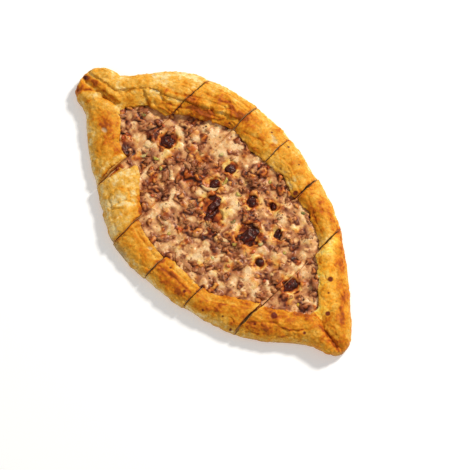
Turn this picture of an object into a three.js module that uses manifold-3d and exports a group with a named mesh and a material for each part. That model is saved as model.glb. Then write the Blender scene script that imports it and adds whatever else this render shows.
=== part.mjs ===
// A Turkish pide: a boat of leavened dough whose long sides are folded in over a filling of minced
// meat and melted cheese. It is cut across into six slices that still lie together.
//
// Millimetres. +X runs along the boat, +Y points to its right-hand side and +Z up. The origin is the
// centre of the footprint, on the surface that the bread rests on. Each slice is one crust solid
// with one filling solid in it, and the large charred pieces on top are solids of their own.

import * as THREE from 'three';
import { mergeVertices } from 'three/addons/utils/BufferGeometryUtils.js';
import Module from 'manifold-3d';

const wasm = await Module();
wasm.setup();

// ---------------------------------------------------------------- driving dimensions

const KERF = 0.8; // width of a knife cut
const CLEARANCE = 0.3; // gap between the filling, or a charred piece, and what holds it
const FINE = 1e-3; // vertices nearer than this are one

const BASE_THICKNESS = 4; // dough under the filling
const FOOT_INSET = 5; // how far the bread's foot stands in from its widest line
const BULGE_HEIGHT = 6; // height of that widest line
const FILLING_TOP = 11.8; // the filling in the open middle
const FILLING_REACH = 0.55; // share of the rim's width that the filling runs in under it
const FILLING_TAPER = 10; // how far the filling runs on past each end of the opening
const LEAST_FILLING = 8; // width of the filling's level top where the opening closes over it
const CREASE = 0.5; // width of the crease where the two folded edges meet
const LIP_GAP = 0.9; // air between the filling and the edge of the folded dough
const LAYER_STEP = 2; // how much an upper layer of dough stands above the lower one
const DOME_WIDTH = 46; // a cross-section narrower than this is lower too
const SAMPLE_STEP = 8; // spacing of the cross-sections along X
const HIGH = 60; // anything above the bread

// The folded rim, from its widest line (0) to the edge that lies over the filling (1).
const RIM_PROFILE = [
  [0, BULGE_HEIGHT], [0.05, 10.5], [0.15, 14.5], [0.32, 17.4],
  [0.5, 18.8], [0.66, 19], [0.82, 17.8], [0.93, 16.2], [1, 14.8],
];

// The boat's widest line, seen from above: the right side from bow to stern, then the left side back.
const OUTLINE = [
  [-177, 8], [-173, 19], [-165, 23], [-154, 25.5], [-140, 44], [-118, 71], [-90, 87], [-46, 99.5],
  [-5, 102], [45, 92], [83, 80], [121, 56.5], [160, 24], [178, 6], [182, -8],
  [177, -17], [158, -25], [127, -49.5], [104, -66], [45, -84.5], [0, -90], [-43, -87],
  [-81, -67], [-122, -43], [-152, -19.5], [-168, -16.5], [-175, -6],
];

// Where the folded edges meet past the two ends of the opening.
const BOW_CREASE = [[-178, 1], [-152, 3]];
const STERN_CREASE = [[150, -5], [159, -9], [183, -9]];

// The slices from bow to stern. right and left are the edges of the folded dough as [x, y]; past the
// ends of the opening they run together as one crease. layer is the edge of an upper layer of dough,
// where there is one. height scales the rims, and slip and turn are how the knife left the slice.
const SLICES = [
  {
    from: -178, to: -90, slip: 0.5, turn: 0,
    height: { right: 1.03, left: 0.95 },
    right: [...BOW_CREASE, [-132, 6], [-121, 14.5], [-111, 27], [-100, 30], [-94, 32], [-89, 39]],
    left: [...BOW_CREASE, [-132, 6], [-125, 3], [-113, -9], [-105, -18], [-98, -22], [-89, -22]],
    layer: { right: [[-178, 8], [-143, 14], [-126, 34], [-117, 43], [-104, 46], [-89, 54]] },
  },
  {
    from: -90, to: -40, slip: 0, turn: 0,
    height: { right: 1.05, left: 1.0 },
    right: [[-91, 38], [-79, 48], [-63, 57.5], [-44, 65], [-39, 68]],
    left: [[-91, -27], [-77, -20], [-60, -36], [-39, -53]],
    layer: { right: [[-91, 54], [-68, 65.5], [-48, 75], [-39, 79]] },
  },
  {
    from: -40, to: 3.5, slip: -0.9, turn: 0,
    height: { right: 1.0, left: 0.88 },
    right: [[-41, 69], [-24, 68], [-17, 65.5], [4.5, 68]],
    left: [[-41, -55], [-26, -60], [-6, -62.5], [4.5, -63]],
  },
  {
    from: 3.5, to: 48.5, slip: 0.2, turn: 0,
    height: { right: 0.97, left: 0.98 },
    right: [[2.5, 67], [25, 70], [33, 67], [40, 63], [49.5, 62]],
    left: [[2.5, -62.5], [19, -60.5], [49.5, -59.5]],
  },
  {
    from: 48.5, to: 98.5, slip: 0.9, turn: 0,
    height: { right: 0.98, left: 1.0 },
    right: [[47.5, 64], [56, 61.5], [66, 62], [83, 53.5], [92, 49.5], [99.5, 41]],
    left: [[47.5, -58.5], [58.5, -57], [72, -47], [87, -36.5], [99.5, -30]],
  },
  {
    from: 98.5, to: 183, slip: 0.2, turn: 0.55,
    height: { right: 1.0, left: 1.0 },
    right: [[97.5, 41], [101, 36], [108, 32], [118, 23], [124, 15.5], [134, 6], [143, 0], ...STERN_CREASE],
    left: [[97.5, -32], [109, -26], [121, -18], [136, -7], [143, 0], ...STERN_CREASE],
  },
];
const OPENING_ENDS = [-132, 143]; // where the two folded edges meet

// Rolls and tucks of dough that stand on the rims, as swept ellipses: slice number, path as
// [x, y, z], the half-width and half-height at the start, and their share left at the far end.
const ROLLS = [
  // the bow's knob, the browned ridge across it and the tuck on its left
  { slice: 1, path: [[-170, 14, 10.5], [-161, 17, 13], [-148, 24, 12]], half: [9.5, 8.5], narrows: 0.8 },
  { slice: 1, path: [[-172, 4, 11], [-153, 8, 14.5], [-131, 11, 14]], half: [5.5, 6.5], narrows: 0.9 },
  { slice: 1, path: [[-170, -9, 9.5], [-160, -4, 12], [-147, 4, 12.5]], half: [9, 7.5], narrows: 0.55 },
  // the curled end of the first slice's left rim
  { slice: 1, path: [[-93, -54, 11], [-92.5, -40, 15], [-93.5, -24, 14.5]], half: [3.2, 4.2], narrows: 1 },
  // the stern's tongue and the corner beside it
  { slice: 6, path: [[156, -15, 10.5], [167, -16, 11], [175, -12, 9]], half: [7, 7], narrows: 0.9 },
  { slice: 6, path: [[148, 6, 13], [162, 0, 13], [175, -1, 9.5]], half: [6.5, 6], narrows: 0.8 },
];

// The notch beside the curled end, where the next slice's flap starts at a slant: [x, y] corners.
const FLAP_NOTCH = [[-92, -58], [-88.5, -56], [-76.8, -20], [-92, -14]];
const FLAP_UNDERSIDE = 12.6;

// Charred pieces: the ends of the piece's axis as [x, y], half-width and half-height.
const CHARRED = [
  { ends: [[-2.5, 15], [8, -13]], half: [4, 2.9] },
  { ends: [[38.5, -5], [45, 18]], half: [5.2, 3.2] },
  { ends: [[-79, 12], [-73, 22]], half: [7, 3] },
  { ends: [[17.5, 30], [24.5, 34]], half: [5.6, 3.2] },
  { ends: [[37, 42], [40.5, 45]], half: [3.9, 2.8] },
  { ends: [[-15.5, 24], [-11.5, 16]], half: [3.5, 2.7] },
  { ends: [[57.5, 25], [62, 28.5]], half: [4.8, 3] },
  { ends: [[65.5, -5.5], [68.5, -2]], half: [4.2, 2.8] },
  { ends: [[101.5, -6], [105, 8]], half: [4.2, 2.8] },
  { ends: [[-17, 37.5], [-13.5, 45]], half: [4.2, 2.6] },
];
const CHARRED_PROUD = 1.2; // how far a charred piece stands above the filling

const material = {
  crust: new THREE.MeshStandardMaterial({ color: '#dd9c47', roughness: 0.62, metalness: 0 }),
  filling: new THREE.MeshStandardMaterial({ color: '#b88560', roughness: 0.45, metalness: 0 }),
  charred: new THREE.MeshStandardMaterial({ color: '#3a1710', roughness: 0.35, metalness: 0 }),
};

// ---------------------------------------------------------------- solids

// A solid that can be cut and joined, from a closed geometry.
function solidOf(geometry) {
  const bare = new THREE.BufferGeometry().setAttribute('position', geometry.getAttribute('position'));
  const merged = mergeVertices(bare.setIndex(geometry.index), FINE);
  return new wasm.Manifold(new wasm.Mesh({
    numProp: 3,
    vertProperties: merged.attributes.position.array,
    triVerts: new Uint32Array(merged.index.array),
  }));
}

function geometryOf(solid) {
  const { vertProperties, triVerts } = solid.getMesh();
  const geometry = new THREE.BufferGeometry();
  geometry.setAttribute('position', new THREE.BufferAttribute(vertProperties, 3));
  geometry.setIndex(new THREE.BufferAttribute(triVerts, 1));
  geometry.computeVertexNormals();
  return geometry;
}

// A solid through equal rings of (y, z) points, one for each station along X, closed at both ends.
// Each ring runs anticlockwise as seen from +X.
function loft(stations) {
  const size = stations[0].ring.length;
  const last = (stations.length - 1) * size;
  const positions = stations.flatMap(({ x, ring }) => ring.flatMap(([y, z]) => [x, y, z]));
  const index = [];
  for (let start = 0; start < last; start += size) {
    for (let i = 0; i < size; i++) {
      const a = start + i;
      const b = start + (i + 1) % size;
      index.push(a, b, b + size, a, b + size, a + size);
    }
  }
  const cap = (ring) => THREE.ShapeUtils.triangulateShape(ring.map(([y, z]) => new THREE.Vector2(y, z)), []);
  for (const [a, b, c] of cap(stations[0].ring)) index.push(a, c, b);
  for (const [a, b, c] of cap(stations.at(-1).ring)) index.push(last + a, last + b, last + c);
  const geometry = new THREE.BufferGeometry();
  geometry.setAttribute('position', new THREE.Float32BufferAttribute(positions, 3));
  geometry.setIndex(index);
  return solidOf(geometry);
}

// A vertical prism over a polygon of (x, y) corners.
function prism(corners, bottom, top) {
  const shape = new THREE.Shape(corners.map(([x, y]) => new THREE.Vector2(x, y)));
  const geometry = new THREE.ExtrudeGeometry(shape, { depth: top - bottom, bevelEnabled: false });
  geometry.translate(0, 0, bottom);
  return solidOf(mergeVertices(new THREE.BufferGeometry().setAttribute(
    'position', geometry.getAttribute('position')), FINE));
}

// A round-ended roll of dough along a curved path, with an elliptical section that narrows to a
// given share of itself at the far end.
function roll(path, [halfWidth, halfHeight], narrows, steps = 10, sides = 12) {
  const curve = new THREE.CatmullRomCurve3(path.map((point) => new THREE.Vector3(...point)));
  const capStart = halfWidth / curve.getLength();
  const positions = [];
  const index = [];
  const up = new THREE.Vector3(0, 0, 1);
  for (let s = 1; s < steps; s++) {
    const round = -Math.cos(Math.PI * s / steps); // -1 to 1, dense at the two ends
    const centre = curve.getPointAt((round + 1) / 2);
    const along = curve.getTangentAt((round + 1) / 2);
    const across = new THREE.Vector3().crossVectors(up, along).normalize();
    const lift = new THREE.Vector3().crossVectors(along, across);
    const fromEnd = Math.min(1, (1 - Math.abs(round)) / 2 / capStart);
    const swell = Math.sqrt(1 - (1 - fromEnd) ** 2) * (1 + (narrows - 1) * (round + 1) / 2);
    for (let i = 0; i < sides; i++) {
      const angle = 2 * Math.PI * i / sides;
      const point = centre.clone()
        .addScaledVector(across, halfWidth * swell * Math.cos(angle))
        .addScaledVector(lift, halfHeight * swell * Math.sin(angle));
      positions.push(point.x, point.y, point.z);
    }
  }
  const rings = steps - 1;
  positions.push(...curve.getPointAt(0).toArray(), ...curve.getPointAt(1).toArray());
  for (let i = 0; i < sides; i++) {
    const next = (i + 1) % sides;
    index.push(rings * sides, next, i);
    index.push(rings * sides + 1, (rings - 1) * sides + i, (rings - 1) * sides + next);
    for (let r = 0; r < rings - 1; r++) {
      const a = r * sides + i;
      const b = r * sides + next;
      index.push(a, b, b + sides, a, b + sides, a + sides);
    }
  }
  const geometry = new THREE.BufferGeometry();
  geometry.setAttribute('position', new THREE.Float32BufferAttribute(positions, 3));
  geometry.setIndex(index);
  return solidOf(geometry);
}

// ---------------------------------------------------------------- cross-sections

const outline = new THREE.CatmullRomCurve3(
  OUTLINE.map(([x, y]) => new THREE.Vector3(x, y, 0)), true, 'centripetal',
).getPoints(OUTLINE.length * 12);
const BOW = Math.min(...outline.map((p) => p.x));
const STERN = Math.max(...outline.map((p) => p.x));

// The boat's widest line at a station: how far it lies to the right and to the left.
function widest(x) {
  const crossings = [];
  outline.forEach((p, i) => {
    const q = outline[(i + 1) % outline.length];
    if ((p.x <= x) !== (q.x <= x)) crossings.push(p.y + (q.y - p.y) * (x - p.x) / (q.x - p.x));
  });
  return { right: Math.max(...crossings), left: Math.min(...crossings) };
}

// The height or place on a line of [position, value] points, straight between them.
function along(line, x) {
  const i = line.findIndex(([position]) => position >= x);
  if (i <= 0) return line.at(i)[1];
  const [[x0, v0], [x1, v1]] = [line[i - 1], line[i]];
  return v0 + (v1 - v0) * (x - x0) / (x1 - x0);
}

// The stations of one slice between two places, close together near the bow and the stern.
function stationsBetween(from, to) {
  const count = Math.ceil((to - from) / SAMPLE_STEP);
  const even = Array.from({ length: count + 1 }, (_, i) => from + (to - from) * i / count);
  const rounding = [0.4, 1.5, 3.5];
  const ends = [...rounding.map((d) => BOW + d), ...rounding.map((d) => STERN - d)];
  const inside = (x) => x > from - FINE && x < to + FINE && x > BOW + 0.3 && x < STERN - 0.3;
  return [...even, ...ends].filter(inside).sort((a, b) => a - b)
    .filter((x, i, all) => i === 0 || x - all[i - 1] > 0.8);
}

// The dough of a slice as one solid, without the opening or the room for the filling. lift raises
// the rims, for an upper layer.
function doughBody(slice, lift) {
  const stations = stationsBetween(slice.from - 1, slice.to + 1).map((x) => {
    const { right, left } = widest(x);
    const width = right - left;
    const dome = Math.sqrt(Math.min(1, width / DOME_WIDTH));
    const foot = Math.min(FOOT_INSET, 0.2 * width);
    const rim = (outer, edge, scale) => RIM_PROFILE.map(([share, height]) => [
      outer + (edge - outer) * share,
      dome * (BULGE_HEIGHT + (height + lift * Math.min(1, share * 8) - BULGE_HEIGHT) * scale),
    ]);
    const edge = edgesAt(slice, x, CREASE);
    return {
      x,
      ring: [
        [left + foot, 0],
        [right - foot, 0],
        [right - foot * 0.28, dome * 2],
        ...rim(right, edge.right, slice.height.right),
        ...rim(left, edge.left, slice.height.left).reverse(),
        [left + foot * 0.28, dome * 2],
      ],
    };
  });
  return loft(stations);
}

// The gentle lumps of the filling's top.
function lumps(x, y) {
  return 0.45 * Math.sin(x / 7.3 + 1.1) * Math.cos(y / 9.1) + 0.3 * Math.sin((x + 2 * y) / 12.7);
}

// The two edges of the folded dough at a station, held apart by at least a least distance.
function edgesAt(slice, x, least) {
  const [right, left] = [along(slice.right, x), along(slice.left, x)];
  const apart = Math.max(0, least - (right - left)) / 2;
  return { right: right + apart, left: left - apart };
}

// The filling of a slice, or the room for it in the dough when grown by a gap.
function fillingBody(slice, grow) {
  const [first, last] = OPENING_ENDS;
  const from = Math.max(slice.from - 1, first - FILLING_TAPER) - grow;
  const to = Math.min(slice.to + 1, last + FILLING_TAPER) + grow;
  const across = 9;
  const stations = stationsBetween(from + 0.3, to - 0.3).map((x) => {
    const past = Math.max(first - x, x - last, 0) / (FILLING_TAPER + grow);
    const taper = Math.sqrt(Math.max(0.01, 1 - past ** 2));
    const edge = edgesAt(slice, x, LEAST_FILLING);
    const { right, left } = widest(x);
    const reach = {
      right: edge.right + taper * (FILLING_REACH * (right - edge.right)) + grow,
      left: edge.left + taper * (FILLING_REACH * (left - edge.left)) - grow,
    };
    const middle = Array.from({ length: across + 1 }, (_, i) => {
      const y = edge.right + (edge.left - edge.right) * i / across;
      const lump = i === 0 || i === across ? 0 : lumps(x, y);
      return [y, FILLING_TOP + lump * taper + (grow ? LIP_GAP : 0)];
    });
    const shoulder = (side) => edge[side] + 0.6 * (reach[side] - edge[side]);
    const floor = BASE_THICKNESS + CLEARANCE - grow;
    return {
      x,
      ring: [
        [reach.left, floor],
        [reach.right, floor],
        [reach.right, 8 * taper + floor * (1 - taper) + grow],
        [shoulder('right'), 10.8 * taper + floor * (1 - taper) + 0.4 + grow],
        ...middle.map(([y, z]) => [y, taper < 1 ? z * taper + (floor + 1) * (1 - taper) : z]),
        [shoulder('left'), 10.8 * taper + floor * (1 - taper) + 0.4 + grow],
        [reach.left, 8 * taper + floor * (1 - taper) + grow],
      ],
    };
  });
  return loft(stations);
}

// Everything above the folded edge of the dough: the opening that shows the filling.
function opening(edgeRight, edgeLeft, slice, bottom) {
  const wide = stationsBetween(slice.from - 1, slice.to + 1)
    .concat([...edgeRight, ...edgeLeft].map(([x]) => x).filter((x) => x > slice.from - 1 && x < slice.to + 1))
    .filter((x) => along(edgeRight, x) - along(edgeLeft, x) > 0.6)
    .sort((a, b) => a - b)
    .filter((x, i, all) => i === 0 || x - all[i - 1] > 0.2);
  const corners = [
    ...wide.map((x) => [x, along(edgeLeft, x)]),
    ...wide.map((x) => [x, along(edgeRight, x)]).reverse(),
  ];
  return prism(corners, bottom, HIGH);
}

// ---------------------------------------------------------------- pieces

// Everything between the two knife cuts at the ends of a slice.
function slab(slice) {
  const [from, to] = [slice.from + KERF / 2, slice.to - KERF / 2];
  const far = HIGH * 3;
  return prism([[from, -far], [to, -far], [to, far], [from, far]], -HIGH, HIGH);
}

function crustOf(slice, number) {
  let dough = doughBody(slice, 0).subtract(opening(slice.right, slice.left, slice, BASE_THICKNESS + 2));
  if (slice.layer) {
    const inward = [[BOW, -HIGH * 3], [STERN, -HIGH * 3]];
    const upper = doughBody(slice, LAYER_STEP).subtract(opening(slice.layer.right, inward, slice, -HIGH));
    dough = dough.add(upper);
  }
  for (const { path, half, narrows } of ROLLS.filter((r) => r.slice === number)) {
    dough = dough.add(roll(path, half, narrows));
  }
  if (number === 2) dough = dough.subtract(prism(FLAP_NOTCH, FLAP_UNDERSIDE, HIGH));
  const aboveTable = prism([[-300, -200], [300, -200], [300, 200], [-300, 200]], 0, HIGH);
  return dough.subtract(fillingBody(slice, CLEARANCE)).intersect(slab(slice)).intersect(aboveTable);
}

// One charred piece, larger all round by a gap where it makes the pocket for itself.
function charredBody({ ends: [[x0, y0], [x1, y1]], half: [halfWidth, halfHeight] }, grow) {
  const z = FILLING_TOP + CHARRED_PROUD - halfHeight;
  const long = Math.hypot(x1 - x0, y1 - y0);
  const [ux, uy] = [(x1 - x0) / long, (y1 - y0) / long];
  const path = [
    [x0 - grow * ux, y0 - grow * uy, z],
    [(x0 + x1) / 2 + uy * 0.8, (y0 + y1) / 2 - ux * 0.8, z],
    [x1 + grow * ux, y1 + grow * uy, z],
  ];
  return roll(path, [halfWidth + grow, halfHeight + grow], 1, 6, 10);
}

function mesh(name, solid, look) {
  const made = new THREE.Mesh(geometryOf(solid), look);
  made.name = name;
  return made;
}

const LEAST_PIECE = 20; // mm3: a smaller offcut of a charred piece is left out

function sliceGroup(slice, number) {
  const group = new THREE.Group();
  let filling = fillingBody(slice, 0).intersect(slab(slice));
  CHARRED.forEach((piece, i) => {
    const part = charredBody(piece, 0).intersect(slab(slice));
    if (part.isEmpty() || part.volume() < LEAST_PIECE) return;
    filling = filling.subtract(charredBody(piece, CLEARANCE));
    group.add(mesh(`charred_${i + 1}_slice_${number}`, part, material.charred));
  });
  group.add(mesh(`crust_${number}`, crustOf(slice, number), material.crust));
  group.add(mesh(`filling_${number}`, filling, material.filling));
  group.position.y = slice.slip;
  group.rotation.z = THREE.MathUtils.degToRad(slice.turn);
  return group;
}

const pide = new THREE.Group();
SLICES.forEach((slice, i) => pide.add(sliceGroup(slice, i + 1)));

// The origin goes to the centre of the footprint.
const box = new THREE.Box3().setFromObject(pide);
const centre = box.getCenter(new THREE.Vector3());
pide.position.set(-centre.x, -centre.y, -box.min.z);

export default pide;
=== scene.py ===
"""Looks of a Turkish pide: six slices of folded, oven-browned dough round a filling of minced meat,
melted cheese and a few charred pieces.

Places are in millimetres in the boat's own coordinates, those of the CAD source: x runs from the bow
to the stern, y to the right-hand side, z up from the table. to_frame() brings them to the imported
model's frame, in metres.
"""

import itertools
import math

import bmesh
import bpy
import numpy as np
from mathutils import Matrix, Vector
from mathutils.bvhtree import BVHTree
from mathutils.kdtree import KDTree


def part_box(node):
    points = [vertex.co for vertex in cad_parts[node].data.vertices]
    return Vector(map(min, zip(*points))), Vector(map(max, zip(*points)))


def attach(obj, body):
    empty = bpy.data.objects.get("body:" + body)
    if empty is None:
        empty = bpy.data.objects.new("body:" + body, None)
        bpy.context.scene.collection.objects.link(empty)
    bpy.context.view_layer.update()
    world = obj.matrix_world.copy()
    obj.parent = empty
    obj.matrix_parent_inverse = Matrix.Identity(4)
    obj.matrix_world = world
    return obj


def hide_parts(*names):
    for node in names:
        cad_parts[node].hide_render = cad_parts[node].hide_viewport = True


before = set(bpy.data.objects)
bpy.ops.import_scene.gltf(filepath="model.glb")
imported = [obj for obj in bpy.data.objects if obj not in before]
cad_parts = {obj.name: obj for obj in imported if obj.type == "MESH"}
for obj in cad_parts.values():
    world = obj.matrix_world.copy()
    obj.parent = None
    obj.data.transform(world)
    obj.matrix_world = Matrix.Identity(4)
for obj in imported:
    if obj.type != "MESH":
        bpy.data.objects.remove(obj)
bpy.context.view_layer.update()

MM = 0.001
SLICES = range(1, 7)
CUT_3_4 = 3.5            # x of the knife cut between the third and the fourth slice
KERF = 0.8               # its width
CHARRED_4_Y = 32.2       # y of the middle of the fourth charred piece

CRUST_VOXEL = 0.8        # mesh size of the dough
CHARRED_VOXEL = 0.45     # and of a charred piece
FILLING_STEP = 0.62      # and of the filling
MAP_STEP = 0.45          # grid of the maps that the filling is worked out on

SEED = 20                # of everything random; every noise below has a further seed of its own


# ---------------- places and colours

def boat_origin():
    """Where the boat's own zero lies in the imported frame, in millimetres."""
    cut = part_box("crust_3")[1].x / MM + KERF / 2
    low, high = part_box("charred_4_slice_4")
    return np.array([cut - CUT_3_4, (low.y + high.y) / 2 / MM - CHARRED_4_Y, 0.0])


ORIGIN = boat_origin()
CUTS = [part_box(f"crust_{i}")[1].x / MM + KERF / 2 - ORIGIN[0] for i in SLICES if i < 6]
BED_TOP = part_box("filling_4")[1].z / MM - 0.4


def to_frame(points):
    """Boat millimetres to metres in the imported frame."""
    return (np.asarray(points, float) + ORIGIN) * MM


def to_boat(points):
    """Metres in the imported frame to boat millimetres."""
    return np.asarray(points, float) / MM - ORIGIN


def boat_box(name):
    """A CAD node's lowest and highest corner, in boat millimetres."""
    return [to_boat(corner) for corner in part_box(name)]


def linear(red, green, blue):
    """A screen colour, 0 to 255 a channel, as linear light."""
    c = np.array([red, green, blue]) / 255
    return np.where(c <= 0.04045, c / 12.92, ((c + 0.055) / 1.055) ** 2.4)


def ramp(stops, values):
    """Colours along a list of (place, colour) stops."""
    places = [place for place, _ in stops]
    return np.stack([np.interp(values, places, [c[i] for _, c in stops]) for i in range(3)], axis=-1)


def smooth(low, high, values):
    """0 below low, 1 above high and a smooth rise between them."""
    t = np.clip((values - low) / (high - low), 0, 1)
    return t * t * (3 - 2 * t)


def between(values, rise_from, rise_to, fall_from, fall_to):
    """1 between two smooth steps, the first up and the second down, and 0 outside them."""
    return smooth(rise_from, rise_to, values) * (1 - smooth(fall_from, fall_to, values))


def mix(a, b, share):
    return a + (b - a) * share


def blend(a, b, share):
    """Mixes colours by a share at each point or map place."""
    return mix(a, b, np.asarray(share)[..., None])


class Grid:
    """An even grid over the pide as seen from above, in millimetres, for maps of it."""

    def __init__(self, x_reach, y_reach, step):
        self.low, self.step = (x_reach[0], y_reach[0]), step
        self.x, self.y = np.meshgrid(np.arange(*x_reach, step), np.arange(*y_reach, step), indexing="ij")
        self.places = np.stack([self.x.ravel(), self.y.ravel()], axis=1)

    def map(self, values):
        return np.asarray(values).reshape(self.x.shape)

    def sample(self, values, points):
        """A map's numbers or colours at points, read between the grid's places."""
        place = np.clip((points[:, :2] - self.low) / self.step, 0, np.array(self.x.shape) - 1.001)
        i, j = place.astype(int).T
        along, across = (place - np.floor(place)).T
        if values.ndim == 3:
            along, across = along[:, None], across[:, None]
        near = mix(values[i, j], values[i, j + 1], across)
        return mix(near, mix(values[i + 1, j], values[i + 1, j + 1], across), along)


PLAN = Grid((-190, 192), (-105, 118), 1.0)           # the whole pide
BED = Grid((-142, 153), (-72, 80), MAP_STEP)         # its filling


# ---------------- noise

GRADIENTS = np.random.default_rng(SEED).normal(size=(256, 3))
GRADIENTS /= np.linalg.norm(GRADIENTS, axis=1)[:, None]
NOISE_GAIN = 1.6  # brings the noise to about -1 to 1


def gradients(cells, seed):
    """A direction for each cell of the noise, from the cell's three whole numbers and the seed."""
    mixed = (cells[:, 0] * 73856093) ^ (cells[:, 1] * 19349663) ^ (cells[:, 2] * 83492791)
    mixed = (mixed + seed * 40503) * 2654435761
    return GRADIENTS[(mixed >> 13) & (len(GRADIENTS) - 1)]


def noise(points, size, seed):
    """Smooth noise, about -1 to 1, with lumps about size apart, at an (n, 3) or (n, 2) array."""
    p = np.zeros((len(points), 3))
    p[:, :points.shape[1]] = points / np.asarray(size, float)
    cell = np.floor(p).astype(np.int64)
    f = p - cell
    fade = f ** 3 * (f * (f * 6 - 15) + 10)
    total = np.zeros(len(p))
    for corner in itertools.product((0, 1), repeat=3):
        weight = np.where(corner, fade, 1 - fade).prod(axis=1)
        total += weight * np.einsum("ij,ij->i", gradients(cell + corner, seed), f - corner)
    return total * NOISE_GAIN


def noises(points, *layers):
    """A sum of noises, each of them an amount, a size and a seed."""
    return sum(amount * noise(points, size, seed) for amount, size, seed in layers)


# ---------------- meshes

def link(obj):
    bpy.context.scene.collection.objects.link(obj)
    return obj


def new_mesh(name, points, corners, sizes):
    """A mesh from (n, 3) boat points and faces: the corners one face after another, and their sizes."""
    mesh = bpy.data.meshes.new(name)
    mesh.vertices.add(len(points))
    mesh.loops.add(len(corners))
    mesh.loops.foreach_set("vertex_index", np.asarray(corners, np.int32))
    mesh.polygons.add(len(sizes))
    starts = np.concatenate([[0], np.cumsum(sizes)[:-1]])
    mesh.polygons.foreach_set("loop_start", starts.astype(np.int32))
    set_points(mesh, points)
    mesh.update(calc_edges=True)
    mesh.validate()
    return mesh


def read(rows, name, width, kind=np.float32):
    """What each of a mesh's vertices, normals or edges holds, as an array of rows."""
    values = np.zeros(len(rows) * width, kind)
    rows.foreach_get(name, values)
    return values.reshape(-1, width)


def points_of(mesh):
    return to_boat(read(mesh.vertices, "co", 3))


def set_points(mesh, points):
    mesh.vertices.foreach_set("co", to_frame(points).astype(np.float32).ravel())
    mesh.update()


def normals_of(mesh):
    return read(mesh.vertex_normals, "vector", 3).astype(float)


def edges_of(mesh):
    return read(mesh.edges, "vertices", 2, np.int32)


def paint(mesh, name, values):
    """Stores a number or a linear colour at each vertex, for the material to read."""
    colour = np.ndim(values) == 2
    layer = mesh.attributes.new(name, "FLOAT_COLOR" if colour else "FLOAT", "POINT")
    if colour:
        values = np.concatenate([values, np.ones((len(values), 1))], axis=1)
    layer.data.foreach_set("color" if colour else "value", values.astype(np.float32).ravel())


def bvh(name):
    """A CAD node's faces, to cast rays at."""
    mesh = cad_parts[name].data
    return BVHTree.FromPolygons([v.co.copy() for v in mesh.vertices], [p.vertices[:] for p in mesh.polygons])


def remeshed(node, name, voxel):
    """A fine, even copy of a CAD node's solid."""
    work = bmesh.new()
    work.from_mesh(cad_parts[node].data)
    bmesh.ops.remove_doubles(work, verts=work.verts, dist=1e-6)
    source = bpy.data.meshes.new(name)
    work.to_mesh(source)
    work.free()
    obj = link(bpy.data.objects.new(name, source))
    modifier = obj.modifiers.new("even", "REMESH")
    modifier.mode = "VOXEL"
    modifier.voxel_size = voxel * MM
    shaped = obj.evaluated_get(bpy.context.evaluated_depsgraph_get())
    mesh = bpy.data.meshes.new_from_object(shaped)
    bpy.data.objects.remove(obj)
    bpy.data.meshes.remove(source)
    return mesh


def relax(points, edges, rounds, hold):
    """Evens out a surface without shrinking it. hold is 0 where a point may move and 1 where it stays."""
    a, b = edges.T
    count = np.bincount(a, minlength=len(points)) + np.bincount(b, minlength=len(points))
    count = np.maximum(count, 1)[:, None]
    free = (1 - hold)[:, None]
    for step in (0.55, -0.57) * rounds:
        total = np.stack([
            np.bincount(a, points[b, i], len(points)) + np.bincount(b, points[a, i], len(points))
            for i in range(3)], axis=1)
        points = points + free * step * (total / count - points)
    return points


def add_piece(name, mesh, material, replaced=()):
    """Puts a finished mesh in the scene as a piece of the pide."""
    mesh.materials.clear()
    mesh.materials.append(material)
    mesh.polygons.foreach_set("use_smooth", np.ones(len(mesh.polygons), bool))
    mesh.name = name
    piece = link(bpy.data.objects.new(name, mesh))
    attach(piece, "root")
    if replaced:
        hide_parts(*replaced)


# ---------------- materials

def nodes_of(name):
    material = bpy.data.materials.new(name)
    material.use_nodes = True
    tree = material.node_tree
    return material, tree, tree.nodes["Principled BSDF"]


def feed(tree, socket, value):
    """Links another node's output to a socket, or sets the socket to a constant."""
    if isinstance(value, bpy.types.NodeSocket):
        tree.links.new(value, socket)
    else:
        socket.default_value = value


def feed_named(tree, target, inputs):
    """Feeds sockets by their names, with underscores for spaces."""
    for key, value in inputs.items():
        feed(tree, target.inputs[key.replace("_", " ")], value)


def node(tree, kind, settings=None, **inputs):
    made = tree.nodes.new(kind)
    for key, value in (settings or {}).items():
        setattr(made, key, value)
    feed_named(tree, made, inputs)
    return made


def noise_node(tree, scale_mm, detail, roughness=0.55):
    place = tree.nodes.get("Place") or node(tree, "ShaderNodeTexCoord", {"name": "Place"})
    return node(tree, "ShaderNodeTexNoise", Vector=place.outputs["Object"], Scale=1 / (scale_mm * MM),
                Detail=detail, Roughness=roughness).outputs["Fac"]


def stretch(tree, value, low, high, to_low, to_high):
    return node(tree, "ShaderNodeMapRange", {"clamp": True}, Value=value, From_Min=low, From_Max=high,
                To_Min=to_low, To_Max=to_high).outputs["Result"]


def varied(tree, value, to_low, to_high):
    """A noise node's usual range, stretched to another one."""
    return stretch(tree, value, 0.3, 0.7, to_low, to_high)


def attribute(tree, name, output):
    return node(tree, "ShaderNodeAttribute", {"attribute_name": name}).outputs[output]


def tint(tree, shade):
    """The painted colour times a grey value."""
    made = tree.nodes.new("ShaderNodeVectorMath")
    made.operation = "SCALE"
    tree.links.new(attribute(tree, "tint", "Color"), made.inputs[0])
    tree.links.new(shade, made.inputs["Scale"])
    return made.outputs[0]


def maths(tree, operation, a, b):
    made = node(tree, "ShaderNodeMath", {"operation": operation})
    for socket, value in zip(made.inputs, (a, b)):
        feed(tree, socket, value)
    return made.outputs[0]


def darkened(tree, colour, height, low, high, stain):
    """The colour with stains where a noise stands high."""
    made = node(tree, "ShaderNodeMix", {"data_type": "RGBA"})
    tree.links.new(stretch(tree, height, low, high, 0.0, 0.6), made.inputs[0])
    tree.links.new(colour, made.inputs[6])
    made.inputs[7].default_value = (*stain, 1)
    return made.outputs[2]


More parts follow.
